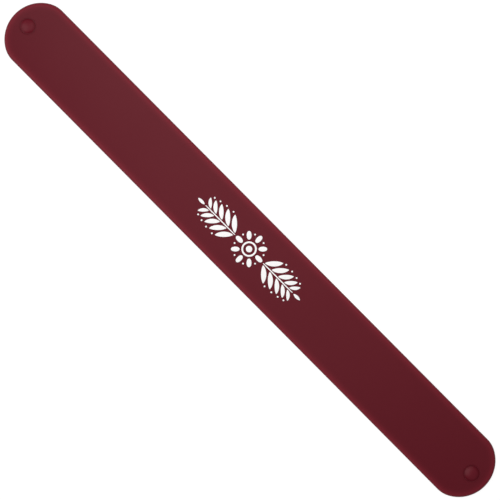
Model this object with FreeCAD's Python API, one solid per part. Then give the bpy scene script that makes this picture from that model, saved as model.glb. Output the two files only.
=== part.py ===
import FreeCAD, Part

import math
import os

# Slap bracelet, laid flat and straight: a silicone sleeve round a cross-curved spring blade,
# with a stud near each end that holds the blade in its place.
# Millimetres. X runs along the band, Y across it and Z up through it. The origin is on the surface
# that the band lies on, under its middle. The face is the upper side, a shallow trough, and
# the back is the lower side, which goes to the skin.

# Band
LENGTH = 225.0
WIDTH = 23.75
THICKNESS = 2.5
NOSE_RADIUS = 12.3
SHOULDER_RADIUS = 9.0
EDGE_RADIUS = 1.0

# Cross curve of the face and of the blade, and of the back on each side of its flat land
FACE_RADIUS = 65.0
LAND_WIDTH = 8.0
BACK_RADIUS = 30.0

# Spring blade, and the silicone beyond its edge
BLADE_THICKNESS = 0.2
BLADE_MARGIN = 2.35
POCKET_GAP = 0.1

# Studs, each on its own axis near a tip
STUD_FROM_TIP = 6.25
STUD_HEIGHT = 0.62
STUD_GAP = 0.12
STUD_SOCKET_FLOOR = 0.5
HEAD_RADIUS = 2.52
SHANK_RADIUS = 1.3
BLADE_HOLE_RADIUS = 1.5

STUDS = (
    # node name, which end of the band
    ("end_stud_left", -1),
    ("end_stud_right", 1),
)

# Shallow groove round each stud, partly in its head and partly in the sleeve: the circle of its
# section, whose middle is above the face, and the rounded corner where it meets the face
GROOVE_AT = HEAD_RADIUS + STUD_GAP / 2
GROOVE_RADIUS = 0.5
GROOVE_AXIS_HEIGHT = 2.97
MOUTH_RADIUS = 0.5

# Worked out from them: the cross curve's axis, the blade's place, and a height past the whole band
AXIS_HEIGHT = THICKNESS + FACE_RADIUS
BLADE_MIDDLE = THICKNESS / 2
BLADE_RADIUS = AXIS_HEIGHT - BLADE_MIDDLE
TALL = 4 * THICKNESS

# How near a point is to a curve that it lies on
CLOSE = 0.01

UP = FreeCAD.Vector(0, 0, 1)


def on_circle(centre, radius, angle):
    """The point of a circle in the XY plane at an angle from +X."""
    return FreeCAD.Vector(centre[0] + radius * math.cos(angle), centre[1] + radius * math.sin(angle), 0)


def arc(centre, radius, start, end):
    """An arc in the XY plane from one angle to another."""
    middle = (start + end) / 2
    points = [on_circle(centre, radius, a) for a in (start, middle, end)]
    return Part.Arc(*points).toShape()


def line(start, end):
    """A straight edge."""
    return Part.LineSegment(start, end).toShape()


def outline(inset):
    """The band's outline moved inwards: straight sides, and at each end a nose arc between two
    shoulder arcs, each tangent to the next."""
    nose = NOSE_RADIUS - inset
    shoulder = SHOULDER_RADIUS - inset
    nose_x = LENGTH / 2 - NOSE_RADIUS
    shoulder_y = WIDTH / 2 - SHOULDER_RADIUS
    shoulder_x = nose_x + math.sqrt((NOSE_RADIUS - SHOULDER_RADIUS) ** 2 - shoulder_y**2)
    meet = math.atan2(shoulder_y, shoulder_x - nose_x)
    up = math.pi / 2
    side = WIDTH / 2 - inset
    edges = []
    for end in (1, -1):
        turn = 0 if end > 0 else math.pi
        edges.append(arc((end * shoulder_x, -end * shoulder_y), shoulder, turn - up, turn - meet))
        edges.append(arc((end * nose_x, 0), nose, turn - meet, turn + meet))
        edges.append(arc((end * shoulder_x, end * shoulder_y), shoulder, turn + meet, turn + up))
        start = FreeCAD.Vector(end * shoulder_x, end * side, 0)
        edges.append(line(start, FreeCAD.Vector(-start.x, start.y, 0)))
    return Part.Wire(Part.__sortEdges__(edges))


def block(inset):
    """A tall solid over the outline, from below the band to above it."""
    face = Part.Face(outline(inset))
    face.translate(FreeCAD.Vector(0, 0, -TALL / 2))
    return face.extrude(FreeCAD.Vector(0, 0, TALL))


def section_arc(radius, centre_y, centre_z, y_from, y_to):
    """The lower side of a circle in the YZ plane, between two places across the band."""
    points = []
    for y in (y_from, (y_from + y_to) / 2, y_to):
        z = centre_z - math.sqrt(radius**2 - (y - centre_y) ** 2)
        points.append(FreeCAD.Vector(-LENGTH, y, z))
    return Part.Arc(*points).toShape()


def along(edges):
    """A closed section in the YZ plane carried along the whole band."""
    wire = Part.Wire(Part.__sortEdges__(edges))
    return Part.Face(wire).extrude(FreeCAD.Vector(2 * LENGTH, 0, 0))


def band_section():
    """Between the hollow face and the back, which is a flat land and a shoulder arc each side."""
    half = WIDTH
    land = LAND_WIDTH / 2
    face = section_arc(FACE_RADIUS, 0, AXIS_HEIGHT, -half, half)
    left = section_arc(BACK_RADIUS, -land, BACK_RADIUS, -half, -land)
    right = section_arc(BACK_RADIUS, land, BACK_RADIUS, land, half)
    flat = line(left.Vertexes[1].Point, right.Vertexes[0].Point)
    sides = [
        line(face.Vertexes[0].Point, left.Vertexes[0].Point),
        line(face.Vertexes[1].Point, right.Vertexes[1].Point),
    ]
    return along([face, left, flat, right, *sides])


def curved_plate(inset, thickness):
    """A plate with the blade's cross curve and the band's outline moved inwards."""
    half = WIDTH
    upper = section_arc(BLADE_RADIUS - thickness / 2, 0, AXIS_HEIGHT, -half, half)
    lower = section_arc(BLADE_RADIUS + thickness / 2, 0, AXIS_HEIGHT, -half, half)
    sides = [line(upper.Vertexes[i].Point, lower.Vertexes[i].Point) for i in (0, 1)]
    return along([upper, lower, *sides]).common(block(inset))


def upright(radius, low, high, x):
    """An upright cylinder on the band's centre line."""
    return Part.makeCylinder(radius, high - low, FreeCAD.Vector(x, 0, low))


def one_solid(shape):
    """The only solid of a shape, with its split faces joined."""
    solid = shape.removeSplitter().Solids
    assert len(solid) == 1, len(solid)
    return solid[0]


def stud_x(end):
    """Where along the band a stud's axis stands."""
    return end * (LENGTH / 2 - STUD_FROM_TIP)


def edges_over(body, curve):
    """The edges of a body that run along over a curve in the XY plane, and not up from it."""
    found = []
    for edge in body.Edges:
        points = edge.discretize(9)
        climb = abs(points[0].z - points[-1].z)
        flat = [Part.Vertex(p.x, p.y, 0) for p in points]
        if climb < THICKNESS / 2 and all(v.distToShape(curve)[0] < CLOSE for v in flat):
            found.append(edge)
    return found


def edges_round(body, x, near, far):
    """The edges of a body whose points all lie between two distances from an upright axis at x."""
    found = []
    for edge in body.Edges:
        reach = [math.hypot(p.x - x, p.y) for p in edge.discretize(9)]
        if near < min(reach) and max(reach) < far:
            found.append(edge)
    return found


def make_sleeve():
    """The band with its edges rounded, less the studs' holes, each with its groove and socket, and
    less the blade's pocket."""
    body = one_solid(band_section().common(block(0)))
    body = body.makeFillet(EDGE_RADIUS, edges_over(body, outline(0)))
    pocket = curved_plate(BLADE_MARGIN - POCKET_GAP, BLADE_THICKNESS + 2 * POCKET_GAP)
    for name, end in STUDS:
        x = stud_x(end)
        hole = HEAD_RADIUS + STUD_GAP
        groove = Part.makeTorus(GROOVE_AT, GROOVE_RADIUS, FreeCAD.Vector(x, 0, GROOVE_AXIS_HEIGHT))
        body = one_solid(body.cut([upright(hole, BLADE_MIDDLE, TALL, x), groove]))
        mouth = edges_round(body, x, hole + CLOSE, GROOVE_AT + GROOVE_RADIUS)
        body = body.makeFillet(MOUTH_RADIUS, mouth)
        socket = upright(SHANK_RADIUS + STUD_GAP, STUD_SOCKET_FLOOR - STUD_GAP, BLADE_MIDDLE, x)
        body = body.cut(socket)
    return one_solid(body.cut(pocket))


def make_blade():
    """The spring blade: a cross-curved plate with a round hole for each stud."""
    plate = curved_plate(BLADE_MARGIN, BLADE_THICKNESS)
    holes = [upright(BLADE_HOLE_RADIUS, -TALL, TALL, stud_x(end)) for name, end in STUDS]
    return one_solid(plate.cut(holes))


def make_stud(end):
    """A stud turned about its upright axis: a domed head whose flank runs out into the groove and
    that sits on the blade, and a shank through the blade's hole into the sleeve's back. The dome
    touches the groove's circle, so its radius follows from its top and the groove."""
    top = THICKNESS + STUD_HEIGHT
    seat = BLADE_MIDDLE + BLADE_THICKNESS / 2 + POCKET_GAP
    foot = STUD_SOCKET_FLOOR
    over_top = GROOVE_AXIS_HEIGHT - top
    dome = (over_top**2 + GROOVE_AT**2 - GROOVE_RADIUS**2) / (2 * (GROOVE_RADIUS - over_top))
    touch = math.asin(GROOVE_AT / (dome + GROOVE_RADIUS))
    rim = -math.asin((GROOVE_AT - HEAD_RADIUS) / GROOVE_RADIUS)

    def on_dome(angle):
        return FreeCAD.Vector(dome * math.sin(angle), 0, top - dome + dome * math.cos(angle))

    def in_groove(angle):
        r = GROOVE_AT + GROOVE_RADIUS * math.sin(angle)
        return FreeCAD.Vector(r, 0, GROOVE_AXIS_HEIGHT - GROOVE_RADIUS * math.cos(angle))

    corners = [
        in_groove(rim),
        FreeCAD.Vector(HEAD_RADIUS, 0, seat),
        FreeCAD.Vector(SHANK_RADIUS, 0, seat),
        FreeCAD.Vector(SHANK_RADIUS, 0, foot),
        FreeCAD.Vector(0, 0, foot),
        on_dome(0),
    ]
    edges = [line(a, b) for a, b in zip(corners, corners[1:])]
    edges.append(Part.Arc(on_dome(0), on_dome(touch / 2), on_dome(touch)).toShape())
    edges.append(Part.Arc(on_dome(touch), in_groove((rim - touch) / 2), in_groove(rim)).toShape())
    profile = Part.Face(Part.Wire(Part.__sortEdges__(edges)))
    stud = profile.revolve(FreeCAD.Vector(0, 0, 0), UP, 360)
    stud.translate(FreeCAD.Vector(stud_x(end), 0, 0))
    return one_solid(stud)


# Each piece to a file of its own
shapes = {"silicone_sleeve": make_sleeve(), "spring_blade": make_blade()}
for name, end in STUDS:
    shapes[name] = make_stud(end)

os.makedirs("parts", exist_ok=True)
for node, shape in shapes.items():
    shape.exportStep(f"parts/{node}.step")
    box = shape.optimalBoundingBox(True, False)
    size = f"{box.XLength:.2f} x {box.YLength:.2f} x {box.ZLength:.2f} mm"
    print(f"{node}: {size}, {shape.Volume:.1f} mm3, {len(shape.Faces)} faces, valid {shape.isValid()}")
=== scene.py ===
# %% [markdown]
# # A slap bracelet, laid flat
#
# A slap bracelet is a steel spring blade inside a soft silicone band. The blade is curved across its
# width, like a tape rule, and that curve keeps the band straight. Slapped against something round,
# it snaps into a curl. Here it lies flat with its face up.
#
# The frame holds the part's exact solids. They settle where everything is. The silicone could be
# finished on the solid's own mesh, but that mesh is loose triangles and facets show on its rounded
# edge, so each soft piece is worked out again from the same sizes as a smooth grid of points.

import math

import bmesh
import bpy
import numpy as np
from mathutils import Matrix, Vector


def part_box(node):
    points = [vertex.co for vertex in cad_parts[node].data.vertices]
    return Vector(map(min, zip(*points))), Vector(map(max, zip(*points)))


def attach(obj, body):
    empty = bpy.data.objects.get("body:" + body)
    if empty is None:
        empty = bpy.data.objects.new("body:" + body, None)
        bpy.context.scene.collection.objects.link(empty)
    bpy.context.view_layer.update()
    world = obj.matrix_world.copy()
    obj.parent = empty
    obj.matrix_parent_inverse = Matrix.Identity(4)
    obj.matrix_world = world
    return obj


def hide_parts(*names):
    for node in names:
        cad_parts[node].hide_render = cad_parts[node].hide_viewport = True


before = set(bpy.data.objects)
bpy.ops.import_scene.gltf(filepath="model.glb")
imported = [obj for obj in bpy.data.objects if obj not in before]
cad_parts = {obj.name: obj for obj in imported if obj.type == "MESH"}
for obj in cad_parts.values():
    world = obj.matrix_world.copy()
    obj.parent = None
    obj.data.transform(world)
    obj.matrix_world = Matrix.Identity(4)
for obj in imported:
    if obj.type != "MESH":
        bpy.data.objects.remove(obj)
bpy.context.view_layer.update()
print("solids in the frame:", ", ".join(sorted(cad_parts)))

# %% [markdown]
# ## Sizes
#
# All shapes are worked out in millimetres and become metres only when a mesh is made. The band's
# section lies between a hollow face, part of a circle high over the band, and a back that is a flat
# land with a rounded shoulder each side. Inside is the blade's pocket, on the blade's own curve.

# %% Sizes of the band, in millimetres
MM = 0.001
HALF_LENGTH = 112.5
HALF_WIDTH = 11.875
THICKNESS = 2.5
NOSE_RADIUS = 12.3
SHOULDER_RADIUS = 9.0
EDGE_RADIUS = 1.0
FACE_RADIUS = 65.0
HALF_LAND = 4.0
BACK_RADIUS = 30.0

POCKET_INSET = 2.25
POCKET_HALF_HEIGHT = 0.2
STUD_FROM_TIP = 6.25
STUD_X = HALF_LENGTH - STUD_FROM_TIP
HOLE_RADIUS = 2.64
GROOVE_AT = 2.58
GROOVE_RADIUS = 0.5
GROOVE_AXIS_HEIGHT = 2.97
MOUTH_RADIUS = 0.5
SOCKET_RADIUS = 1.42
SOCKET_FLOOR = 0.38

AXIS_HEIGHT = THICKNESS + FACE_RADIUS
BLADE_RADIUS = AXIS_HEIGHT - THICKNESS / 2

low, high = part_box("silicone_sleeve")
print("the sleeve's solid is", [round(size / MM, 2) for size in high - low], "mm")


# %% Heights across the band
def face_z(y):
    """The face: the axis height less the other leg of a triangle, sqrt(radius^2 - y^2)."""
    return AXIS_HEIGHT - np.sqrt(FACE_RADIUS**2 - y**2)


def roof_z(y):
    """The pocket's roof: the same with the blade's radius less half of the pocket's height."""
    return AXIS_HEIGHT - np.sqrt((BLADE_RADIUS - POCKET_HALF_HEIGHT) ** 2 - y**2)


def floor_z(y):
    """The pocket's floor: the same with half of the pocket's height added."""
    return AXIS_HEIGHT - np.sqrt((BLADE_RADIUS + POCKET_HALF_HEIGHT) ** 2 - y**2)


def back_z(y):
    """The back: 0 on the land, and beyond it radius - sqrt(radius^2 - (distance past the land)^2)."""
    past = np.maximum(np.abs(y) - HALF_LAND, 0)
    return BACK_RADIUS - np.sqrt(BACK_RADIUS**2 - past**2)


for y in (0, 5, 10):
    pocket = f"pocket {floor_z(y):.2f} to {roof_z(y):.2f}"
    print(f"at y {y} mm: back {back_z(y):.2f}, {pocket}, face {face_z(y):.2f}")

# %% [markdown]
# ## From grids of points to a mesh
#
# Every surface here is a grid: rows and columns of points, worked out as whole arrays. A piece is
# made of several grids that share their edge points. Merging the points that coincide closes the
# seams and the poles, and then the faces are turned outwards. Drawing the band by hand and
# subdividing it would be quicker, but its section would drift from the real one.

# %% Helpers for grids
CLOSE = 1e-6
SHARP = math.radians(40)


def quads(rows, columns, wrap):
    """Corner numbers of a grid's quads: (i, j), (i, j + 1), (i + 1, j + 1), (i + 1, j), where point
    (i, j) has the number i * columns + j. With wrap, the last column joins the first."""
    across = columns if wrap else columns - 1
    i, j = np.meshgrid(np.arange(rows - 1), np.arange(across), indexing="ij")
    after = (j + 1) % columns
    corners = [i * columns + j, i * columns + after, (i + 1) * columns + after, (i + 1) * columns + j]
    return np.stack(corners, axis=-1).reshape(-1, 4)


def new_piece(name, patches):
    """An object made of patches, each a grid of points in millimetres and whether it wraps."""
    points = []
    faces = []
    count = 0
    for grid, wrap in patches:
        rows, columns = grid.shape[:2]
        points.append(grid.reshape(-1, 3) * MM)
        faces.append(quads(rows, columns, wrap) + count)
        count += rows * columns
    mesh = bpy.data.meshes.new(name)
    mesh.from_pydata(np.concatenate(points).tolist(), [], np.concatenate(faces).tolist())
    shell = bmesh.new()
    shell.from_mesh(mesh)
    bmesh.ops.remove_doubles(shell, verts=shell.verts, dist=CLOSE)
    bmesh.ops.recalc_face_normals(shell, faces=shell.faces)
    loose = sum(not edge.is_manifold for edge in shell.edges)
    volume = shell.calc_volume(signed=True) / MM**3
    shell.to_mesh(mesh)
    shell.free()
    mesh.shade_smooth()
    mesh.set_sharp_from_angle(angle=SHARP)
    piece = bpy.data.objects.new(name, mesh)
    bpy.context.scene.collection.objects.link(piece)
    print(f"{name}: {len(mesh.polygons)} faces, {volume:.1f} mm3, {loose} edges that aren't closed")
    return piece


def lift(xy, height):
    """Points of the XY plane raised to a height that depends on y."""
    return np.concatenate([xy, height(xy[..., 1:])], axis=-1)


def between(start, end, shares):
    """Rows at given shares of the way from one row of points to another, start + (end - start) * s."""
    return start + (end - start) * np.asarray(shares)[:, None, None]


# %% [markdown]
# ## The outline
#
# Seen from above, the sides are straight and each end is three arcs that meet smoothly: a shoulder,
# the nose and a shoulder. Any point of it is an anchor plus a reach in the outward direction. On a
# straight side the anchor moves and on an arc the direction turns. A smaller reach gives the same
# outline moved inwards, which is what a rounded edge and a pocket need.

# %% The outline as rays
NOSE_X = HALF_LENGTH - NOSE_RADIUS
SHOULDER_Y = HALF_WIDTH - SHOULDER_RADIUS
SHOULDER_X = NOSE_X + math.sqrt((NOSE_RADIUS - SHOULDER_RADIUS) ** 2 - SHOULDER_Y**2)
MEET = math.degrees(math.atan2(SHOULDER_Y, SHOULDER_X - NOSE_X))
FAN_REACH = 9.0
CUT_X = STUD_X - FAN_REACH
HALF_TURN = np.array([-1.0, -1.0, 1.0])

RUNS = (
    # anchor x from, to, anchor y, reach, direction in degrees from, to, points
    (CUT_X, SHOULDER_X, 0, HALF_WIDTH, -90, -90, 6),
    (SHOULDER_X, SHOULDER_X, -SHOULDER_Y, SHOULDER_RADIUS, -90, -MEET, 14),
    (NOSE_X, NOSE_X, 0, NOSE_RADIUS, -MEET, MEET, 60),
    (SHOULDER_X, SHOULDER_X, SHOULDER_Y, SHOULDER_RADIUS, MEET, 90, 14),
    (SHOULDER_X, CUT_X, 0, HALF_WIDTH, 90, 90, 6),
    (CUT_X, -CUT_X, 0, HALF_WIDTH, 90, 90, 130),
)
END_POINTS = sum(run[-1] for run in RUNS[:-1])
SIDE_POINTS = RUNS[-1][-1]


def steps(start, end, count):
    """Evenly spaced values from start, without end, where the next run begins."""
    return start + (end - start) * np.arange(count) / count


half_x = np.concatenate([steps(x0, x1, count) for x0, x1, y, reach, a0, a1, count in RUNS])
half_y = np.concatenate([np.full(count, y) for x0, x1, y, reach, a0, a1, count in RUNS])
half_reach = np.concatenate([np.full(count, reach) for x0, x1, y, reach, a0, a1, count in RUNS])
half_degrees = np.concatenate([steps(a0, a1, count) for x0, x1, y, reach, a0, a1, count in RUNS])
half_angle = np.radians(half_degrees)

half_anchor = np.column_stack([half_x, half_y])
half_outward = np.column_stack([np.cos(half_angle), np.sin(half_angle)])
anchor = np.concatenate([half_anchor, -half_anchor])
outward = np.concatenate([half_outward, -half_outward])
reach = np.tile(half_reach, 2)


def outline(inset):
    """The outline moved inwards: anchor + (reach - inset) * outward direction."""
    return anchor + (reach - inset)[:, None] * outward


print(f"{len(anchor)} points round the band, shoulder to nose at {MEET:.1f} degrees")

# %% [markdown]
# ## The rounded edge
#
# Silicone is moulded, so every edge is rounded. The edge is what a small ball leaves when it rolls
# along inside the corner: its centre stays a ball's radius from both surfaces, and the round runs
# from one touching point to the other. Halfway up the wall is the faint bead where the mould's
# halves meet. A bevel modifier could round the edge too, but not at this exact touching line.


# %% A ball against each surface
def against_face(xy, radius):
    """A ball under the face: its centre is radius farther from the face's axis than the face is.
    Gives the centre, and the direction from it to the axis, in which it touches the face."""
    y = xy[:, 1]
    far = FACE_RADIUS + radius
    drop = np.sqrt(far**2 - y**2)
    centre = np.column_stack([xy, AXIS_HEIGHT - drop])
    return centre, np.column_stack([np.zeros_like(y), -y, drop]) / far


def against_back(xy, radius):
    """A ball over the back: its centre is radius nearer to the shoulder's axis than the back is.
    Gives the centre, and the direction away from the axis, in which it touches the back."""
    y = xy[:, 1]
    past = np.sign(y) * np.maximum(np.abs(y) - HALF_LAND, 0)
    near = BACK_RADIUS - radius
    rise = np.sqrt(near**2 - past**2)
    centre = np.column_stack([xy, BACK_RADIUS - rise])
    return centre, np.column_stack([np.zeros_like(y), past, -rise]) / near


def rounded(centre, start, end, radius, count):
    """Rows round a ball: centre + radius * direction, which turns evenly from start to end, being
    (sin((1 - s) angle) start + sin(s angle) end) / sin(angle) at the share s."""
    angle = np.arccos((start * end).sum(axis=1))[:, None]
    s = np.linspace(0, 1, count + 1)[:, None, None]
    return centre + radius * (np.sin((1 - s) * angle) * start + np.sin(s * angle) * end) / np.sin(angle)


# %% Rows of the rim, from the face over the edge to the back
PARTING_BEAD = 0.03
PARTING_WIDTH = 0.14
UPPER_STEPS = 14
LOWER_STEPS = 12
FACE_SHARES = (0, 0.3, 0.55, 0.75, 0.88, 0.96)
WALL_SHARES = np.linspace(0.1, 0.9, 9)

level = np.column_stack([outward, np.zeros(len(outward))])
ball_line = outline(PARTING_BEAD + EDGE_RADIUS)
upper_centre, upward = against_face(ball_line, EDGE_RADIUS)
lower_centre, downward = against_back(ball_line, EDGE_RADIUS)
upper_edge = rounded(upper_centre, upward, level, EDGE_RADIUS, UPPER_STEPS)
lower_edge = rounded(lower_centre, level, downward, EDGE_RADIUS, LOWER_STEPS)

pocket_line = outline(POCKET_INSET)
face_rows = lift(between(pocket_line, upper_edge[0][:, :2], FACE_SHARES), face_z)
bead = PARTING_BEAD * np.exp(-(((WALL_SHARES - 0.5) / PARTING_WIDTH) ** 2))
wall_rows = between(upper_edge[-1], lower_edge[0], WALL_SHARES) + bead[:, None, None] * level
back_rows = lift(between(pocket_line, lower_edge[-1][:, :2], FACE_SHARES), back_z)[::-1]
rim = np.concatenate([face_rows, upper_edge, wall_rows, lower_edge, back_rows])
print(f"rim: {len(rim)} rows, from {rim[..., 2].min():.3f} to {rim[..., 2].max():.3f} mm high")

# %% [markdown]
# ## Face, back and pocket
#
# Inside the rim lie four sheets with one plan: the face, the pocket's roof and floor, and the back.
# Between two cut lines a sheet is a plain grid. Beyond each cut line it is a fan of straight rays
# from the stud's hole to the edge, so the hole stays truly round. Cutting holes with a boolean would
# leave ragged triangles that catch the light.

# %% A sheet with a hole at each end
ROWS_ACROSS = 24
FAN_ROWS = 13
FAN_SPREAD = 1.2
FAN_SHARES = np.linspace(0, 1, FAN_ROWS) ** FAN_SPREAD

stud_centre = np.array([STUD_X, 0.0])
edge_y = HALF_WIDTH - POCKET_INSET
cut_y = np.linspace(edge_y, -edge_y, ROWS_ACROSS + 1)
cut_line = np.column_stack([np.full(ROWS_ACROSS - 1, CUT_X), cut_y[1:-1]])
fan_edge = np.concatenate([pocket_line[: END_POINTS + 1], cut_line])
spokes = fan_edge - stud_centre
spokes /= np.linalg.norm(spokes, axis=1)[:, None]

middle_x = np.linspace(CUT_X, -CUT_X, SIDE_POINTS + 1)
middle = np.stack(np.meshgrid(middle_x, cut_y), axis=-1)


def both_ends(grid):
    """A patch of the right end, and the same after half a turn about the band's middle."""
    return [(grid, True), (grid * HALF_TURN, True)]


def plate(ring, height):
    """A sheet from a ring of points round the stud's axis, and its half-turned twin, out to the
    pocket's outline. Point (r, k) of a fan is ring k + (edge k - ring k) * share r."""
    fan = lift(between(ring, fan_edge, FAN_SHARES), height)
    return [(lift(middle, height), False)] + both_ends(fan)


def ring(radius):
    """Points round the stud's axis, one on each spoke: centre + radius * spoke direction."""
    return stud_centre + np.atleast_1d(radius)[:, None] * spokes


# %% [markdown]
# ## The groove round a stud
#
# Round each stud the face dips into a shallow groove. Its section is part of a circle whose middle
# is above the face, and a small ball rounds the corner where the groove meets the face. The ball's
# place depends on the face's height there, so a few passes settle it. Below the groove is the hole
# down to the pocket, and under the blade a socket in the back for the shank. A boolean and a bevel
# would be quicker, but would leave thin triangles round the groove.

# %% The stud's well and socket
MOUTH_PASSES = 6
MOUTH_STEPS = 6
GROOVE_STEPS = 8

tube_centre = np.column_stack([ring(GROOVE_AT), np.full(len(spokes), GROOVE_AXIS_HEIGHT)])
mouth_at = np.full(len(spokes), GROOVE_AT + GROOVE_RADIUS)
for each_pass in range(MOUTH_PASSES):
    mouth_centre, mouth_up = against_face(ring(mouth_at), MOUTH_RADIUS)
    drop = GROOVE_AXIS_HEIGHT - mouth_centre[:, 2]
    mouth_at = GROOVE_AT + np.sqrt((GROOVE_RADIUS + MOUTH_RADIUS) ** 2 - drop**2)
to_tube = (tube_centre - mouth_centre) / (GROOVE_RADIUS + MOUTH_RADIUS)
mouth = rounded(mouth_centre, mouth_up, to_tube, MOUTH_RADIUS, MOUTH_STEPS)

lean_in = (HOLE_RADIUS - GROOVE_AT) / GROOVE_RADIUS
to_hole = np.column_stack([lean_in * spokes, np.full(len(spokes), -math.sqrt(1 - lean_in**2))])
groove = rounded(tube_centre, -to_tube, to_hole, GROOVE_RADIUS, GROOVE_STEPS)
well_foot = lift(ring(HOLE_RADIUS), roof_z)
well = np.concatenate([mouth, groove[1:], well_foot[None]])

socket_top = lift(ring(SOCKET_RADIUS), floor_z)
socket_foot = np.column_stack([ring(SOCKET_RADIUS), np.full(len(spokes), SOCKET_FLOOR)])
socket_middle = np.column_stack([ring(0), np.full(len(spokes), SOCKET_FLOOR)])
socket = np.stack([socket_top, socket_foot, socket_middle])
print("well and socket:", len(spokes), "points round each")

# %% The sleeve
pocket_edge = np.stack([lift(pocket_line, roof_z), lift(pocket_line, floor_z)])
patches = [(rim, True), (pocket_edge, True)]
patches += plate(mouth[0][:, :2], face_z)
patches += plate(ring(HOLE_RADIUS), roof_z)
patches += plate(ring(SOCKET_RADIUS), floor_z)
patches += plate(ring(0), back_z)
patches += both_ends(well)
patches += both_ends(socket)
sleeve = new_piece("sleeve", patches)
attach(sleeve, "root")
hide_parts("silicone_sleeve")

# %% [markdown]
# ## Values kept on the points
#
# The colour changes in two places, both painted light: a painted glow follows the outline, where
# light gets through the thin silicone beyond the blade, and painted shade darkens the crease round
# a stud. Both could be painted by hand. Worked out from the same arcs as the shape they are exact,
# and the material only has to read them.

# %% Values kept on the points, for the finish
# Where the painted shade round a stud lies, and how wide it fades.
PAINTED_SHADE_AT = 2.42
PAINTED_SHADE_WIDTH = 0.5


def from_outline(x, y, z):
    """Radius less the distance from the centre of the arc that a point lies under, or half the
    width less y beside the straight sides. The band's quarters are alike, so only |x|, |y| count."""
    x = np.abs(x)
    y = np.abs(y)
    under_nose = np.degrees(np.arctan2(y, x - NOSE_X)) < MEET
    nose = NOSE_RADIUS - np.hypot(x - NOSE_X, y)
    shoulder = SHOULDER_RADIUS - np.hypot(x - SHOULDER_X, y - SHOULDER_Y)
    side = HALF_WIDTH - y
    return np.where(under_nose, nose, np.where(x > SHOULDER_X, shoulder, side))


def crease_painted_shade(x, y, z):
    """Painted shade in the crease round a stud: 1 in the crease, fading to both sides:
    exp(-((r - at) / width)^2). In the lower half of the band's thickness it is 0."""
    r = np.hypot(np.abs(x) - STUD_X, y)
    return np.exp(-(((r - PAINTED_SHADE_AT) / PAINTED_SHADE_WIDTH) ** 2)) * (z > THICKNESS / 2)


def keep(piece, name, worked_out):
    """Keeps a value on every point of a piece, worked out from its place in millimetres."""
    corners = np.empty(len(piece.data.vertices) * 3)
    piece.data.vertices.foreach_get("co", corners)
    x, y, z = corners.reshape(-1, 3).T / MM
    values = worked_out(x, y, z)
    piece.data.attributes.new(name, "FLOAT", "POINT").data.foreach_set("value", values)
    print(f"{piece.name} keeps {name}, from {values.min():.2f} to {values.max():.2f}")


# The distance from the edge places the painted glow; the crease value places the painted shade.
keep(sleeve, "from_edge", from_outline)
keep(sleeve, "crease", crease_painted_shade)

# %% [markdown]
# ## The studs
#
# Near each tip a round stud goes through the blade and holds it in its place. Its head is a low
# dome that stands a little proud of the face and runs out into the groove, so that no hard line
# shows. Its shank ends in a socket in the back. A squashed sphere would be quicker, but would cut
# the groove at an angle. Here the profile is made of arcs that touch, turned about an upright axis
# as its mould was.

# %% Studs as turned profiles
SKIRT_RADIUS = 2.61
STUD_TOP = THICKNESS + 0.62
STUD_SEAT = 1.45
STUD_FOOT = 0.5
SHANK_RADIUS = 1.3
TURN_POINTS = 96
DOME_POINTS = 12
DIP_POINTS = 9

# The dome touches the groove's circle, so the distance between their middles is the sum of their
# radii: (R + groove)^2 = (R + over_top)^2 + at^2, from which the dome's radius R follows.
over_top = GROOVE_AXIS_HEIGHT - STUD_TOP
DOME_RADIUS = (over_top**2 + GROOVE_AT**2 - GROOVE_RADIUS**2) / (2 * (GROOVE_RADIUS - over_top))
dome_middle = STUD_TOP - DOME_RADIUS
lean = math.asin(GROOVE_AT / (DOME_RADIUS + GROOVE_RADIUS))
skirt_lean = math.asin((SKIRT_RADIUS - GROOVE_AT) / GROOVE_RADIUS)

dome_angle = np.linspace(0, lean, DOME_POINTS)
dome_r = DOME_RADIUS * np.sin(dome_angle)
dome_z = dome_middle + DOME_RADIUS * np.cos(dome_angle)
dip_angle = np.linspace(-lean, skirt_lean, DIP_POINTS)[1:]
dip_r = GROOVE_AT + GROOVE_RADIUS * np.sin(dip_angle)
dip_z = GROOVE_AXIS_HEIGHT - GROOVE_RADIUS * np.cos(dip_angle)
dome = np.column_stack([dome_r, dome_z])
dip = np.column_stack([dip_r, dip_z])
stem = np.array([
    # distance from the axis, height
    [SKIRT_RADIUS, STUD_SEAT],
    [SHANK_RADIUS, STUD_SEAT],
    [SHANK_RADIUS, STUD_FOOT],
    [0, STUD_FOOT],
])
stud_profile = np.concatenate([dome, dip, stem])
print(f"dome of radius {DOME_RADIUS:.2f} mm, leaning {math.degrees(lean):.1f} degrees at its foot")


def turned(profile, x):
    """A profile of (r, z) rows turned about the upright line at x: (x + r cos a, r sin a, z)."""
    a = np.linspace(0, 2 * math.pi, TURN_POINTS, endpoint=False)
    r = profile[:, :1]
    z = np.broadcast_to(profile[:, 1:], (len(profile), TURN_POINTS))
    return np.stack([x + r * np.cos(a), r * np.sin(a), z], axis=-1)


STUDS = (
    # name, node, x
    ("stud_left", "end_stud_left", -STUD_X),
    ("stud_right", "end_stud_right", STUD_X),
)

studs = []
for name, node, x in STUDS:
    stud = new_piece(name, [(turned(stud_profile, x), True)])
    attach(stud, "root")
    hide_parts(node)
    # The stud's crease value places painted shade on it too.
    keep(stud, "crease", crease_painted_shade)
    studs.append(stud)

# %% [markdown]
# ## The printed ornament
#
# Such bands are screen-printed with thick silicone ink. The print is a film a few hundredths of a
# millimetre high with soft edges. It could be a pattern in the material, but a film of its own
# catches the light at its edges and is a shape in the mesh. The ornament is a sprig each side of a
# rosette. Every mark is a stroke: a small section carried along a path, wide or narrow as it goes.

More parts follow.
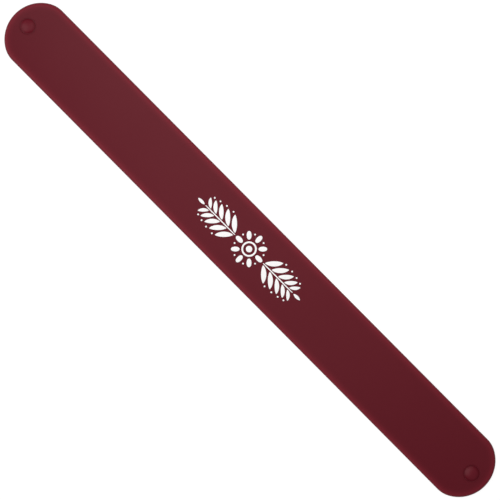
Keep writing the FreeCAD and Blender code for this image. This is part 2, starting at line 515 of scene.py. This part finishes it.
# %% A stroke of ink
FILM_RISE = 0.03
FILM_SUNK = 0.02
FILM_SECTION = np.array([
    # share of the half width, height over the face
    [-1.00, -FILM_SUNK],
    [-0.97, 0.5 * FILM_RISE],
    [-0.80, FILM_RISE],
    [0.80, FILM_RISE],
    [0.97, 0.5 * FILM_RISE],
    [1.00, -FILM_SUNK],
])
LEAF_POINTS = 19
HOOP_POINTS = 73


def stroke(path, across, half_width):
    """Point (i, k) is path i + across i * half width i * share k, at the face's height there plus
    height k."""
    shift = across * half_width[:, None]
    xy = path[:, None, :] + shift[:, None, :] * FILM_SECTION[None, :, :1]
    z = face_z(xy[..., 1:]) + FILM_SECTION[None, :, 1:]
    return np.concatenate([xy, z], axis=-1), True


def leaf(x, y, degrees, length, half_width, bend=0.0, point=1.0):
    """A leaf from (x, y): its middle line runs at an angle and bows by bend * s (1 - s) sideways, and
    its half width is sin(pi share)^point, with more steps near both tips."""
    turn = np.linspace(0, math.pi, LEAF_POINTS)
    s = (1 - np.cos(turn)) / 2
    forward = np.array([math.cos(math.radians(degrees)), math.sin(math.radians(degrees))])
    left = np.array([-forward[1], forward[0]])
    path = np.array([x, y]) + length * s[:, None] * forward + bend * (s * (1 - s))[:, None] * left
    slope = bend * (1 - 2 * s) / length
    across = (left - slope[:, None] * forward) / np.sqrt(1 + slope**2)[:, None]
    return stroke(path, across, half_width * np.sin(turn) ** point)


def dot(x, y, radius):
    """A round dot: a leaf as wide as it is long."""
    return leaf(x - radius, y, 0, 2 * radius, radius)


def hoop(radius, half_width):
    """A ring about the origin: the path is a circle and across is the direction from its centre."""
    a = np.linspace(0, 2 * math.pi, HOOP_POINTS)
    out = np.column_stack([np.cos(a), np.sin(a)])
    return stroke(radius * out, out, np.full(len(a), half_width))


# %% The ornament
LEAF_PAIRS = (
    # base x, length, half width
    (7.2, 6.1, 0.90),
    (10.4, 5.8, 0.86),
    (13.5, 5.2, 0.79),
    (16.3, 4.5, 0.70),
    (18.8, 3.7, 0.60),
)
LEAF_ANGLE = 45
LEAF_BASE_Y = 0.5
LEAF_BOW = 0.9
LEAF_POINT = 1.5
STALK_AND_TIP = (
    # base x, length, half width, point
    (6.7, 14.1, 0.2, 0.35),
    (21.3, 3.0, 0.52, 1.4),
)
BERRIES = (
    # x, y
    (12.6, 5.15),
    (15.6, 4.95),
    (18.2, 4.5),
    (20.4, 3.95),
)
HUB_RADIUS = 1.1
HOOP_RADIUS = 2.3
HOOP_HALF_WIDTH = 0.3
PETALS = 8
PETAL_FROM = 3.2
PETAL_LENGTH = 2.9
PETAL_HALF_WIDTH = 0.83
PETAL_POINT = 0.9
DOTS_AT = 5.3
DOT_RADIUS = 0.3


def round_middle(radius, turn):
    """A place round the rosette's middle: (radius cos turn, radius sin turn)."""
    return radius * math.cos(turn), radius * math.sin(turn)


marks = [dot(0, 0, HUB_RADIUS), hoop(HOOP_RADIUS, HOOP_HALF_WIDTH)]
for k in range(PETALS):
    turn = math.tau * k / PETALS
    degrees = math.degrees(turn)
    x, y = round_middle(PETAL_FROM, turn)
    marks.append(leaf(x, y, degrees, PETAL_LENGTH, PETAL_HALF_WIDTH, point=PETAL_POINT))
    x, y = round_middle(DOTS_AT, turn + math.pi / PETALS)
    marks.append(dot(x, y, DOT_RADIUS))
for end in (1, -1):
    away = 0 if end > 0 else 180
    for base, length, half_width, point in STALK_AND_TIP:
        marks.append(leaf(end * base, 0, away, length, half_width, point=point))
    for base, length, half_width in LEAF_PAIRS:
        for side in (1, -1):
            degrees = side * LEAF_ANGLE if end > 0 else 180 - side * LEAF_ANGLE
            bend = -LEAF_BOW * side * end
            base_y = side * LEAF_BASE_Y
            marks.append(leaf(end * base, base_y, degrees, length, half_width, bend, LEAF_POINT))
    for base, y in BERRIES:
        for side in (1, -1):
            marks.append(dot(end * base, side * y, DOT_RADIUS))
print(len(marks), "marks of ink")
ornament = new_piece("ink_ornament", marks)
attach(ornament, "root")

# %% [markdown]
# ## Materials as recipes
#
# A procedural material is a small calculation done at every point of a surface. Clicked together,
# it is a tangle of boxes. Written as a recipe it reads as sums: a wire is the output of a node, and
# an operator on a wire adds the Math node that does it. Only what changes over the surface goes
# through nodes. What is the same all over is set on the shader itself.


# %% Wires and recipes
class Wire:
    """The output of a shader node, with which sums are written as sums."""

    def __init__(self, recipe, socket):
        self.recipe = recipe
        self.socket = socket

    def math(self, operation, first, second):
        """A Math node that does one operation on two values or wires, in the order given."""
        return self.recipe.node("ShaderNodeMath", {"operation": operation}, {0: first, 1: second})

    def __add__(self, other):
        return self.math("ADD", self, other)

    def __radd__(self, other):
        return self.math("ADD", other, self)

    def __sub__(self, other):
        return self.math("SUBTRACT", self, other)

    def __rsub__(self, other):
        return self.math("SUBTRACT", other, self)

    def __mul__(self, other):
        return self.math("MULTIPLY", self, other)

    def __rmul__(self, other):
        return self.math("MULTIPLY", other, self)

    def __pow__(self, other):
        return self.math("POWER", self, other)

    def __rpow__(self, other):
        return self.math("POWER", other, self)


class Recipe:
    """A procedural material, written node by node."""

    def __init__(self, name):
        self.material = bpy.data.materials.new(name)
        self.material.use_nodes = True
        self.tree = self.material.node_tree
        self.tree.nodes.clear()

    def node(self, kind, settings=None, inputs=None, output=0):
        """Adds a node. Its settings come first, then its inputs, each a value or a wire."""
        made = self.tree.nodes.new(kind)
        for key, value in (settings or {}).items():
            setattr(made, key, value)
        for key, value in (inputs or {}).items():
            if isinstance(value, Wire):
                self.tree.links.new(value.socket, made.inputs[key])
            else:
                made.inputs[key].default_value = value
        return Wire(self, made.outputs[output]) if made.outputs else None

    def place(self, scale=(1, 1, 1)):
        """Where a point is on the object, in millimetres times a scale for each axis."""
        at = self.node("ShaderNodeTexCoord", output="Object")
        per_mm = [s / MM for s in scale]
        return self.node("ShaderNodeMapping", inputs={"Vector": at, "Scale": per_mm})

    def noise(self, vector, size, detail=2.0):
        """A soft random field from about 0 to 1 whose features are size millimetres across."""
        inputs = {"Vector": vector, "Scale": 1 / size, "Detail": detail}
        return self.node("ShaderNodeTexNoise", inputs=inputs)

    def blend(self, share, first, second):
        """A colour that goes from first to second as share goes from 0 to 1."""
        return self.node("ShaderNodeMix", {"data_type": "RGBA"}, {0: share, 6: first, 7: second}, 2)

    def bump(self, height, depth):
        """The surface's normal, tilted as if height stood depth millimetres proud at 1."""
        return self.node("ShaderNodeBump", inputs={"Height": height, "Distance": depth * MM})

    def kept(self, name):
        """A value that a piece keeps on its points."""
        return self.node("ShaderNodeAttribute", {"attribute_name": name}, output="Fac")

    def share(self, value, start, end):
        """How far a value has come from start to end, from 0 to 1."""
        inputs = {"Value": value, "From Min": start, "From Max": end}
        return self.node("ShaderNodeMapRange", inputs=inputs)

    def finish(self, **inputs):
        """Ends the recipe with the shader and gives the material."""
        named = {}
        for key, value in inputs.items():
            named[key.replace("_", " ").title().replace("Ior", "IOR")] = value
        shader = self.node("ShaderNodeBsdfPrincipled", inputs=named)
        self.node("ShaderNodeOutputMaterial", inputs={"Surface": shader})
        print(f"{self.material.name}: {len(self.tree.nodes)} nodes")
        return self.material


# %% [markdown]
# ## Moulded silicone
#
# Silicone straight from the mould is matt: the mould is blasted, and the rubber copies its fine
# grain. The pigment is mixed in, so the colour is even, with only faint clouds. Over the blade it is
# a deep wine red. Beyond the blade's edge there is no steel behind it and more light gets through;
# that glow is painted in, as a lighter, redder margin all round, which fades where the edge turns
# down. The crease round a stud is darkened with painted shade. A plain gradient couldn't follow the
# round ends, so both are read from the values that the sleeve keeps on its points. The studs come
# from a mould of their own that is slightly smoother, and their crease gets the same painted shade.

# %% Silicone of the sleeve
RUBBER_IOR = 1.41
CLOUD_SIZE = 22.0
GRAIN_SIZE = 0.16
GRAIN_DEPTH = 0.006
WINE = (0.1144, 0.0053, 0.0126, 1)
WINE_CLOUD = (0.1086, 0.0050, 0.0120, 1)
# Painted glow: a lighter, redder wine stands in for light that gets through the thin margin beyond the
# blade.
WINE_PAINTED_GLOW = (0.1660, 0.0098, 0.0195, 1)
# Painted shade: a darker wine for the crease round a stud.
WINE_PAINTED_SHADE = (0.0915, 0.0024, 0.0082, 1)
PAINTED_GLOW_RISE = 0.55
PAINTED_GLOW_FROM = 0.9
PAINTED_GLOW_TO = 3.2
PAINTED_GLOW_FALL = 2.3

silicone = Recipe("moulded_silicone")
place = silicone.place()
clouds = silicone.noise(place, CLOUD_SIZE, detail=3.0)
grain = silicone.noise(place, GRAIN_SIZE)
from_edge = silicone.kept("from_edge")
rise = silicone.share(from_edge, 0, PAINTED_GLOW_RISE)
fall = silicone.share(from_edge, PAINTED_GLOW_TO, PAINTED_GLOW_FROM)
# The painted glow's mask: it rises over the rounded edge and fades inwards towards the blade.
painted_glow = rise * fall**PAINTED_GLOW_FALL
field = silicone.blend(clouds, WINE, WINE_CLOUD)
# The painted glow is laid over the field's colour.
with_painted_glow = silicone.blend(painted_glow, field, WINE_PAINTED_GLOW)
sleeve.data.materials.append(silicone.finish(
    # The crease round a stud gets painted shade.
    base_color=silicone.blend(silicone.kept("crease"), with_painted_glow, WINE_PAINTED_SHADE),
    roughness=0.46 + 0.08 * clouds,
    normal=silicone.bump(grain, GRAIN_DEPTH),
    ior=RUBBER_IOR,
    specular_ior_level=0.21,
))

# %% Silicone of the studs
STUD_CLOUD_SIZE = 3.0
STUD_GRAIN_DEPTH = 0.005
STUD_WINE = (0.132, 0.0088, 0.0174, 1)
STUD_SHADE = (0.127, 0.0083, 0.0166, 1)
# Painted shade for the crease round a stud.
STUD_PAINTED_SHADE = (0.1000, 0.0018, 0.0082, 1)

stud_silicone = Recipe("moulded_stud")
place = stud_silicone.place()
clouds = stud_silicone.noise(place, STUD_CLOUD_SIZE)
grain = stud_silicone.noise(place, GRAIN_SIZE)
tone = stud_silicone.blend(clouds, STUD_WINE, STUD_SHADE)
stud_material = stud_silicone.finish(
    # The crease round a stud gets painted shade.
    base_color=stud_silicone.blend(stud_silicone.kept("crease"), tone, STUD_PAINTED_SHADE),
    roughness=0.35 + 0.06 * clouds,
    normal=stud_silicone.bump(grain, STUD_GRAIN_DEPTH),
    ior=RUBBER_IOR,
    specular_ior_level=0.19,
)
for stud in studs:
    stud.data.materials.append(stud_material)

# %% [markdown]
# ## Ink and steel
#
# The white ink is silicone too, so it is as matt as the band, and a little of the wine red shows
# where the film is thin. The blade is cold-rolled steel. Rolling leaves fine lines along it, which
# are noise stretched along the band. The blade is sealed in and isn't seen, but it gets its finish
# too.

# %% White ink
MOTTLE_SIZE = 1.2
INK_GRAIN_SIZE = 0.12
INK_GRAIN_DEPTH = 0.004
INK = (0.97, 0.965, 0.96, 1)
INK_THIN = (0.93, 0.91, 0.91, 1)

white_ink = Recipe("printed_ink")
place = white_ink.place()
mottle = white_ink.noise(place, MOTTLE_SIZE, detail=3.0)
grain = white_ink.noise(place, INK_GRAIN_SIZE)
ornament.data.materials.append(white_ink.finish(
    base_color=white_ink.blend(mottle, INK, INK_THIN),
    roughness=0.5 + 0.1 * mottle,
    normal=white_ink.bump(grain, INK_GRAIN_DEPTH),
    ior=RUBBER_IOR,
))

# %% Rolled spring steel
LINE_SIZE = 0.12
LINE_STRETCH = 0.02
LINE_DEPTH = 0.002
OIL_SIZE = 12.0
STEEL = (0.56, 0.57, 0.59, 1)
STEEL_DARK = (0.42, 0.43, 0.45, 1)

steel = Recipe("rolled_steel")
lines = steel.noise(steel.place(scale=(LINE_STRETCH, 1, 1)), LINE_SIZE, detail=3.0)
oil = steel.noise(steel.place(), OIL_SIZE)
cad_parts["spring_blade"].material_slots[0].material = steel.finish(
    base_color=steel.blend(lines, STEEL_DARK, STEEL),
    roughness=0.24 + 0.16 * lines + 0.08 * oil,
    normal=steel.bump(lines, LINE_DEPTH),
    metallic=1.0,
)

# %% [markdown]
# ## Floor, light and camera
#
# The band lies on a sheet of opal acrylic that glows a little, as on a light table, so hardly any
# shade falls round it. The sheet turns up into a wall far off, so there is no horizon. A wide soft
# box hangs high over the left side, so the left half is lighter, a small faint one is near the band,
# and the sky fills the rest. A sun lamp would be simpler, but would draw hard shadows. The camera
# looks almost straight down with a long lens, and it is turned so that the band runs from one corner
# of the picture to the other.

# %% Floor and wall
FLOOR_LEVEL = -0.02
FLOOR_RADIUS = 2200.0
WALL_CURVE = 500.0
WALL_HEIGHT = 300.0
CURVE_POINTS = 13

bend = np.linspace(0, math.pi / 2, CURVE_POINTS)
curve_r = FLOOR_RADIUS + WALL_CURVE * np.sin(bend)
curve_z = FLOOR_LEVEL + WALL_CURVE * (1 - np.cos(bend))
curve = np.column_stack([curve_r, curve_z])
wall_top = np.array([[FLOOR_RADIUS + WALL_CURVE, FLOOR_LEVEL + WALL_CURVE + WALL_HEIGHT]])
floor_profile = np.concatenate([np.array([[0, FLOOR_LEVEL]]), curve, wall_top])
floor = new_piece("floor", [(turned(floor_profile, 0.0), True)])
floor.data.flip_normals()

# %% Opal sheet
OPAL = (0.14, 0.14, 0.14, 1)
OPAL_SHADE = (0.12, 0.12, 0.12, 1)
OPAL_CLOUD_SIZE = 1.5
GLOW = 0.935

opal = Recipe("opal_sheet")
clouds = opal.noise(opal.place(), OPAL_CLOUD_SIZE, detail=4.0)
floor.data.materials.append(opal.finish(
    base_color=opal.blend(clouds, OPAL, OPAL_SHADE),
    roughness=0.9 + 0.05 * clouds,
    emission_color=(1.0, 1.0, 1.0, 1),
    emission_strength=GLOW,
))

# %% Lights
LIGHTS = (
    # name, centre x, y, z in metres, width, height, watts
    ("soft_box_wide", -0.255, -0.227, 0.469, 0.57, 0.57, 1.976),
    ("soft_box_near", -0.026, 0.060, 0.120, 0.19, 0.19, 0.110),
)
SKY = 0.26

for name, x, y, z, width, height, watts in LIGHTS:
    lamp = bpy.data.lights.new(name, "AREA")
    lamp.shape = "RECTANGLE"
    lamp.size = width
    lamp.size_y = height
    lamp.energy = watts
    light = bpy.data.objects.new(name, lamp)
    light.location = (x, y, z)
    light.rotation_euler = Vector((x, y, z)).to_track_quat("Z", "Y").to_euler()
    light.visible_camera = False
    bpy.context.scene.collection.objects.link(light)

world = bpy.data.worlds.new("sky")
world.use_nodes = True
world.node_tree.nodes["Background"].inputs["Color"].default_value = (1, 1, 1, 1)
world.node_tree.nodes["Background"].inputs["Strength"].default_value = SKY
bpy.context.scene.world = world
bpy.context.scene.view_settings.view_transform = "Standard"
print(len(LIGHTS), "soft lights and a sky of", SKY)

# %% Camera
LENS = 135.0
SENSOR = 36.0
DISTANCE = 0.6345
TILT = math.radians(1.157)
ROLL = math.radians(45.215)
AIM = Vector((0.00039, 0.0, 0.0))

toward_camera = Vector((math.sin(TILT), 0, math.cos(TILT)))
along = Vector((math.cos(TILT), 0, -math.sin(TILT)))
sideways = Vector((0, 1, 0))
right = math.cos(ROLL) * along + math.sin(ROLL) * sideways
up = math.cos(ROLL) * sideways - math.sin(ROLL) * along
turned_axes = Matrix((right, up, toward_camera)).transposed().to_4x4()

lens = bpy.data.cameras.new("camera")
lens.lens = LENS
lens.sensor_width = SENSOR
camera = bpy.data.objects.new("camera", lens)
camera.matrix_world = Matrix.Translation(AIM + DISTANCE * toward_camera) @ turned_axes
bpy.context.scene.collection.objects.link(camera)
bpy.context.scene.camera = camera
print("camera at", [round(c, 4) for c in camera.location], "m")
